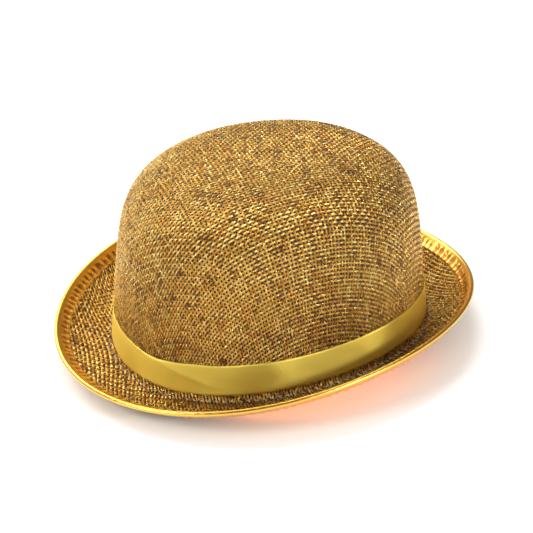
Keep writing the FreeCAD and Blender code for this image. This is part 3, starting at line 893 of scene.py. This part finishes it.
facing_finish = weave_finish("facing_weave", (0.42, 0.27, 0.08), 0.5, 0.5, 1.1, 0.2)
runs = np.linspace(FACING_FROM, FACING_TO, 26)
facing = sheet_piece("brim_facing_cloth", layer_grid(runs, INNER_TOP, dented=False),
                     layer_grid(runs, INNER_TOP + FACING_T, dented=False), True, [facing_finish])
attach(facing, HAT)
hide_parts("brim_facing")
print("facing", len(facing.data.polygons), "faces")

# %% [markdown]
# ## Lining of the crown
#
# A thin black non-woven covers the backing inside the crown and stops just above its foot,
# behind the sweatband. A copy of the backing, shrunk a little, would cut through it where the
# wall is upright. So the lining is laid at its own depth, with the same dents, and takes the
# same felted finish with finer fibres.

# %% Build the lining
LINING_T, LINING_END = 0.3, 6.0  # thickness, and how far over the crown's foot it ends, mm
lining_finish = fibre_finish("black_lining", (0.035, 0.03, 0.027), 0.75, 0.12, 2.5)
share, a = np.meshgrid(np.linspace(0.004, 1, 70), angles, indexing="ij")
s = share * at_height(a, LINING_END)
lining = sheet_piece("crown_lining_cloth", place(a, s, INNER_TOP - dents(a, s)),
                     place(a, s, INNER_TOP + LINING_T - dents(a, s)), True, [lining_finish])
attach(lining, HAT)
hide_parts("crown_lining")
print("lining", len(lining.data.polygons), "faces")

# %% [markdown]
# ## Sweatband
#
# The band that touches the head is ribbed grosgrain. It stands against the wall, then turns
# out over the head opening to the row of stitches. As one sheet it needs rows that go down
# the wall and on round the corner, so its places are listed row by row, and its depth eases
# from in front of the lining to against the backing.

# %% Build the sweatband
SWEAT_TOP, BAND_T = 2.1, 0.7     # its depth on the wall, and its thickness, mm
SWEAT_H, SWEAT_FOOT, SWEAT_LIP = 30.0, 3.0, 1.3   # heights on the wall in mm, end in s
SWEAT_RUN = 36                   # length of the visible band from top to lip, mm


def grosgrain_finish():
    """Ribs across the band, 1 mm apart, with a matt twist."""
    mat, shader, node = new_finish("dark_grosgrain", (0.10, 0.078, 0.055), roughness=0.65,
                                   Sheen_Weight=0.3)
    ribs = node("TexWave", {"Vector": mark_space(node, "along", "across", 1.0, 0.02),
                            "Scale": 0.314}, bands_direction="X")
    uneven = node("TexNoise", {"Vector": space_mm(node), "Scale": 0.5, "Detail": 4.0})
    link(mat, vary(node, uneven.outputs["Fac"], 0.5, 0.8), shader.inputs["Roughness"])
    relief(mat, shader, node, ribs.outputs["Fac"], 0.25)
    return mat


sweat_finish = grosgrain_finish()
walls = np.linspace(SWEAT_H, SWEAT_FOOT, 16)
# then the rows round the corner and out to the lip; ease is 1 on the wall and 0 outside
tail = np.concatenate([[1.0, 1.05, 1.1, 1.15], np.linspace(1.15, SWEAT_LIP, 7)[1:]])
ease = np.concatenate([np.ones(16), [0.9, 0.6, 0.25, 0.0], np.zeros(6)])
s = np.concatenate([np.array([at_height(angles, w) for w in walls]),
                    np.repeat(tail[:, None], AROUND, 1)])
a = np.broadcast_to(angles, s.shape)
depth = np.repeat((INNER_TOP + (SWEAT_TOP - INNER_TOP) * ease)[:, None], AROUND, 1)
across = np.repeat(np.linspace(0, SWEAT_RUN, len(s))[:, None], AROUND, 1)
sweat = sheet_piece("grosgrain_sweatband", place(a, s, depth), place(a, s, depth + BAND_T), True,
                    [sweat_finish], {"along": a * mean_r, "across": across})
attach(sweat, HAT)
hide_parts("sweatband")
print("sweatband", len(sweat.data.polygons), "faces")

# %% [markdown]
# ## The label
#
# A blank tape label hangs inside the back of the sweatband. Its top strip is sewn fast and
# the rest swings on the fold under it.

# %% Label strip
tab_low, tab_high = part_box("label_tab")
flap_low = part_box("size_label")[0]
LABEL_INSET = 0.02               # keeps the tape inside the frame's label, mm
FINE_ZONE, FOLD_HALF = 0.6, 0.35  # mm each side of the fold: with fine rows, and half the fold's width
tape_t = (tab_high.y - tab_low.y) / MM
hinge_z = frame["joints"][0]["pos_m"][2] / MM
label_x = np.linspace(tab_low.x, tab_high.x, 27) / MM
label_z = np.unique(np.concatenate([np.linspace(flap_low.z / MM, hinge_z - FINE_ZONE, 22),
                                    np.linspace(hinge_z - FINE_ZONE, hinge_z + FINE_ZONE, 9),
                                    np.linspace(hinge_z + FINE_ZONE, tab_high.z / MM, 5)]))
x, z = np.meshgrid(label_x, label_z)
front = np.stack([x, np.full_like(x, tab_low.y / MM + LABEL_INSET), z], -1)
back = front + [0, tape_t - 2 * LABEL_INSET, 0]
label_finish = weave_finish("label_tape", (0.80, 0.77, 0.68), 0.0, 0.55, 0.45, 0.06)
label = sheet_piece("size_tape_label", back, front, False, [label_finish])
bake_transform(label)
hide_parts("label_tab", "size_label")
print("label", len(label.data.polygons), "faces")

# %% Sew the label on
LABEL_STITCHES, LABEL_THREAD_R, PROUD = 6, 0.26, 0.25   # number, radius and height, mm
low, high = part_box("label_stitches")
stitch_x = (low.x + (high.x - low.x) * (np.arange(LABEL_STITCHES) + 0.5) / LABEL_STITCHES) / MM
stitch_z = (low.z + high.z) / 2 / MM
stitch_y = tab_low.y / MM - PROUD
xs = np.array(STITCH_X) * STITCH_L / 2
dip = np.array([0.3, 0.12, 0.02, 0, 0.02, 0.12, 0.3])   # how deep each place sinks, mm
lines = [np.stack([x0 + xs, stitch_y + dip, np.full_like(xs, stitch_z)], -1) for x0 in stitch_x]
label_sewing = tubes_piece("label_thread", lines, LABEL_THREAD_R, [pale_thread])
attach(label_sewing, HAT)
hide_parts("label_stitches")
print("label thread", len(label_sewing.data.polygons), "faces")

# %% [markdown]
# ## Wire and joiner
#
# A ring of spring wire lies in the fold of the binding, its ends held in a small sleeve. Both
# are hard and simple, and their CAD shape is already right, so they keep it and only get a
# steel finish with the fine lines that drawing leaves along the metal.

# %% Wire and joiner keep their CAD shape
def steel_finish(name, colour, scale):
    """Drawn steel: fine lines in its gloss and relief."""
    mat, shader, node = new_finish(name, colour, metallic=1.0, roughness=0.35)
    drawn = node("TexNoise", {"Vector": space_mm(node, (1, 1, 0.1)), "Scale": scale, "Detail": 4.0})
    link(mat, vary(node, drawn.outputs["Fac"], 0.22, 0.5), shader.inputs["Roughness"])
    relief(mat, shader, node, drawn.outputs["Fac"], 0.02)
    return mat


for node_name, finish in (("brim_wire", steel_finish("spring_steel", (0.55, 0.55, 0.57), 3.0)),
                          ("wire_joiner", steel_finish("joiner_steel", (0.62, 0.62, 0.64), 1.2))):
    for slot in frame["nodes"][node_name].material_slots:
        slot.link = "OBJECT"
        slot.material = finish
    print(node_name, "finished in", finish.name)

# %% [markdown]

# %% [markdown]
# ## Studio
#
# The hat stands on a plain pale floor. One big flat face is enough for it, set a hair lower
# than the hat's lowest point so that the two never flicker against each other.

# %% Floor
FLOOR_HALF, FLOOR_DROP = 6000, 0.0002    # half its width in mm, and how far down it lies in m
paper = new_finish("floor_paper", (0.74, 0.74, 0.74), roughness=0.9)[0]
corners = [(x * FLOOR_HALF, y * FLOOR_HALF, 0) for x, y in ((-1, -1), (1, -1), (1, 1), (-1, 1))]
floor = make_piece("studio_floor", corners, [[0, 1, 2, 3]], [paper], smooth=False)
floor.location.z = -FLOOR_DROP
print("floor, m:", [round(v, 1) for v in floor.dimensions])

# %% Directions seen from the camera
AZ, EL = math.radians(46.6), math.radians(27.6)   # turned from the hat's front, and above level
right = np.array([math.cos(AZ), math.sin(AZ), 0])
back_dir = np.array([math.sin(AZ) * math.cos(EL), -math.cos(AZ) * math.cos(EL), math.sin(EL)])
level_back = np.array([math.sin(AZ), -math.cos(AZ), 0])


def from_camera(side, toward, height):
    """A place given as metres to the camera's right, toward the camera, and up."""
    return tuple(right * side + level_back * toward + np.array([0, 0, height]))


print("the camera looks from the direction", back_dir.round(2))

# %% [markdown]
# ## Light
#
# Metal shows what it reflects, so the gaps between the lights matter as much as the lights:
# they are the browns in the foil and the mesh. A world of one white would light the floor
# well but bleach the metal. So it is white for matt surfaces and a dim tan in reflections.
# Four soft lights do the rest, and most of their light comes from the left and the back. The
# real mesh lets a little gold light through to the floor, which the closed backing here
# can't, so a small warm lamp inside the hat stands in for it.

# %% World: what the cloth is lit by, and what the metal sees
SKY, GAP = 1.05, 0.22            # strength for matt surfaces, and in reflections
GAP_COLOUR = 0.62, 0.56, 0.45
world = bpy.data.worlds.new("studio")
bpy.context.scene.world = world
world.use_nodes = True
tree = world.node_tree
sky = tree.nodes["Background"]
sky.inputs["Color"].default_value = (1, 1, 1, 1)
sky.inputs["Strength"].default_value = SKY
dark = tree.nodes.new("ShaderNodeBackground")
dark.inputs["Color"].default_value = (*GAP_COLOUR, 1)
dark.inputs["Strength"].default_value = GAP
path = tree.nodes.new("ShaderNodeLightPath")
mix = tree.nodes.new("ShaderNodeMixShader")
tree.links.new(path.outputs["Is Glossy Ray"], mix.inputs["Fac"])
tree.links.new(sky.outputs["Background"], mix.inputs[1])
tree.links.new(dark.outputs["Background"], mix.inputs[2])
tree.links.new(mix.outputs["Shader"], tree.nodes["World Output"].inputs["Surface"])
print("world nodes:", len(tree.nodes))


# %% Soft lights
def soft_light(name, place_m, size, power, colour=(1, 1, 1), aim=(0, 0, 0.06)):
    """A round soft lamp: its place and size in metres, its power in watts."""
    data = bpy.data.lights.new(name, "AREA")
    data.shape, data.size, data.energy, data.color = "DISK", size, power, colour
    lamp = bpy.data.objects.new(name, data)
    lamp.location = place_m
    lamp.rotation_mode = "QUATERNION"
    toward = Vector(aim) - Vector(place_m)
    lamp.rotation_quaternion = toward.to_track_quat("-Z", "Y")
    bpy.context.scene.collection.objects.link(lamp)
    print(name, "light:", power, "W")


soft_light("key", from_camera(-1.1, 0.75, 0.95), 0.6, 12)
soft_light("side", from_camera(1.06, 0.8, 0.42), 0.2, 9)
soft_light("back", from_camera(-1.0, -0.95, 1.05), 0.9, 17)
soft_light("fill", from_camera(-0.1, -0.8, 1.40), 0.8, 15)
soft_light("glow", (0, 0, 0.03), 0.06, 0.35, (1.0, 0.30, 0.08), (0.05, -0.05, 0))

# %% [markdown]
# ## Camera
#
# A hat seen through a long lens from over a metre away keeps its true proportions, where a
# short lens close by would swell the near brim. The camera is placed by its direction and
# distance from a point near the hat's middle, and rolled by a fraction of a degree.

# %% Camera
LENS, SENSOR, DISTANCE, ROLL = 134.0, 36.0, 1.2, math.radians(-0.63)   # mm, mm, m, angle
MID_HEIGHT, AIM_RIGHT, AIM_UP = 59.8, -2.1, -15.5   # mm
up_dir = np.cross(back_dir, right)
target = (np.array([0, CENTRE_Y, MID_HEIGHT]) * MM
          + right * AIM_RIGHT * MM + up_dir * AIM_UP * MM)
turned_right = right * math.cos(ROLL) + up_dir * math.sin(ROLL)
turned_up = up_dir * math.cos(ROLL) - right * math.sin(ROLL)
cam_data = bpy.data.cameras.new("camera")
cam_data.lens, cam_data.sensor_width = LENS, SENSOR
camera = bpy.data.objects.new("camera", cam_data)
basis = Matrix([turned_right, turned_up, back_dir]).transposed().to_4x4()
basis.translation = tuple(target + back_dir * DISTANCE)
camera.matrix_world = basis
bpy.context.scene.collection.objects.link(camera)
bpy.context.scene.camera = camera
bpy.context.scene.view_settings.view_transform = "Standard"
print("camera at", [round(float(v), 3) for v in basis.translation])
